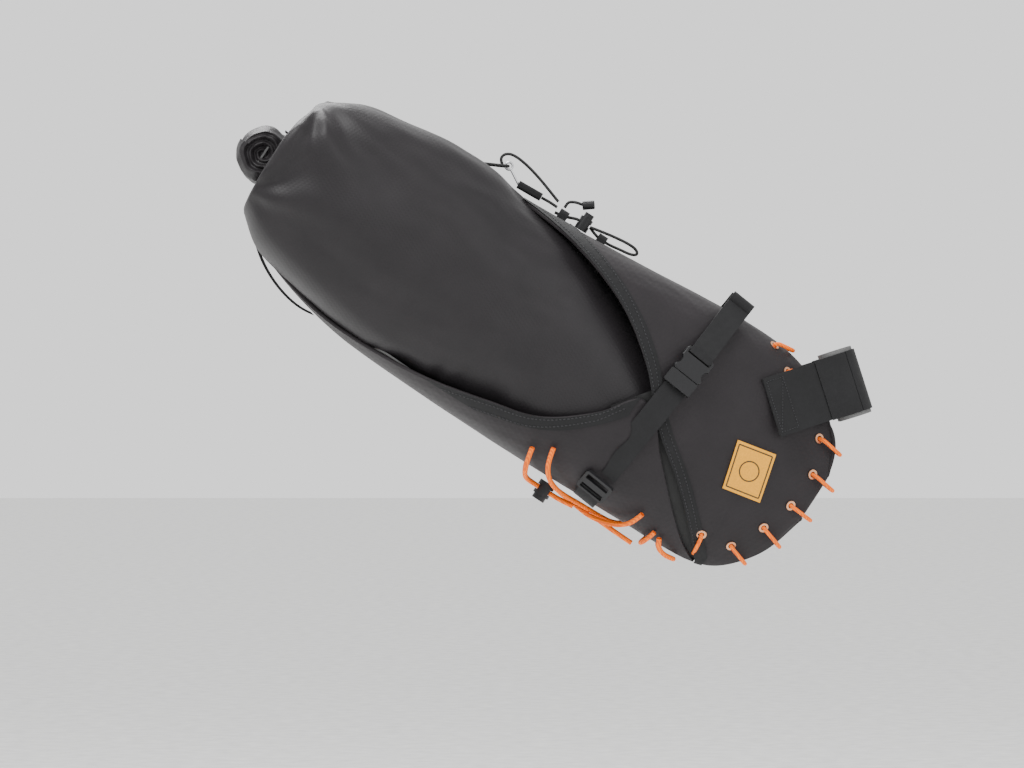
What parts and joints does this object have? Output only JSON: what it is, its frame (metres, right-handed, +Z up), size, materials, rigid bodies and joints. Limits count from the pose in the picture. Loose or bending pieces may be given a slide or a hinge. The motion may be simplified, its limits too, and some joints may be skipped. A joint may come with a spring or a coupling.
{
  "type": "saddle bag",
  "caption": "Bikepacking saddle bag: a laced holster that straps to seatpost and saddle rails and grips a roll-top dry bag with a hook and elastic cords.",
  "frame": {"origin": "middle of the seatpost strap's bore, on the seatpost's axis", "axes": "+X to the bicycle's front, +Y to its left, +Z up; the bag leaves the seatpost rearward and upward at 33 degrees"},
  "size_m": [0.5136, 0.1686, 0.3771],
  "materials": {
    "panel_fabric": "matt woven laminate",
    "dry_fabric": "coated ripstop, slight sheen",
    "webbing": "woven polyester webbing",
    "grip_pad": "grippy grey pad",
    "plastic": "moulded acetal",
    "stiffener_plastic": "sheet",
    "orange_cord": "braided elastic cord",
    "black_cord": "braided elastic cord",
    "steel": "polished wire",
    "copper": "plated eyelet",
    "leather": "veg-tanned, printed border",
    "lining": "plain weave"
  },
  "bodies": {
    "holster": {"base_stiffener": "stiffener_plastic", "belly_cord": "orange_cord", "belly_lock_barrel": "plastic", "belly_lock_spring": "steel", "cord_end": "plastic", "cradle_binding": "webbing", "eyelets": "copper", "holster_cradle": "panel_fabric", "holster_nose": "panel_fabric", "label": "leather", "left_buckle_socket": "plastic", "left_ladder_lock": "plastic", "left_lower_strap": "webbing", "left_post_tab": "webbing", "left_strap_anchor": "webbing", "left_upper_strap": "webbing", "light_loop": "webbing", "nose_binding": "webbing", "nose_lace": "orange_cord", "post_grip_pad": "grip_pad", "post_wrap": "webbing", "pull_loop": "black_cord", "right_buckle_socket": "plastic", "right_ladder_lock": "plastic", "right_lower_strap": "webbing", "right_post_tab": "webbing", "right_strap_anchor": "webbing", "right_upper_strap": "webbing", "roof_cords": "black_cord", "roof_loops": "webbing", "slit_gusset": "lining", "tail_cord": "black_cord", "top_lock_barrel": "plastic", "top_lock_spring": "steel"},
    "dry_bag": {"dry_bag": "dry_fabric", "dry_bag_roll": "dry_fabric", "roll_stiffener": "stiffener_plastic", "closure_strap": "webbing", "bag_loop": "black_cord"},
    "right_plug": {"right_buckle_plug": "plastic"},
    "left_plug": {"left_buckle_plug": "plastic"},
    "post_flap": {"post_flap": "webbing"},
    "top_hook": {"hook_wire": "steel", "hook_sleeve": "webbing", "hook_cord": "black_cord", "arch_cord": "black_cord"},
    "top_plunger": {"top_lock_plunger": "plastic"},
    "belly_plunger": {"belly_lock_plunger": "plastic"}
  },
  "joints": [
    {"name": "dry_bag_slide", "type": "slide", "parent": "holster", "child": "dry_bag", "axis": [-0.6815, 0, 0.7318], "range_m": [0, 0.42]},
    {"name": "right_plug_release", "type": "slide", "parent": "holster", "child": "right_plug", "axis": [-0.6211, -0.1392, -0.7713], "range_m": [0, 0.02]},
    {"name": "left_plug_release", "type": "slide", "parent": "holster", "child": "left_plug", "axis": [-0.6211, 0.1392, -0.7713], "range_m": [0, 0.02]},
    {"name": "post_flap_peel", "type": "hinge", "parent": "holster", "child": "post_flap", "pos_m": [0.00767, -0.01452, 0.00243], "axis": [-0.3024, 0, 0.9532], "range_deg": [0, 110]},
    {"name": "top_hook_swing", "type": "hinge", "parent": "holster", "child": "top_hook", "pos_m": [-0.231, 0, 0.1438], "axis": [0, 1, 0], "range_deg": [0, 70]},
    {"name": "top_lock_press", "type": "slide", "parent": "holster", "child": "top_plunger", "axis": [-0.5446, 0, -0.8387], "range_m": [0, 0.0014], "stiffness_N_per_m": 250, "springref_m": -0.002, "deforming": ["top_lock_spring"]},
    {"name": "belly_lock_press", "type": "slide", "parent": "holster", "child": "belly_plunger", "axis": [0.5446, 0, 0.8387], "range_m": [0, 0.0014], "stiffness_N_per_m": 250, "springref_m": -0.002, "deforming": ["belly_lock_spring"]}
  ]
}
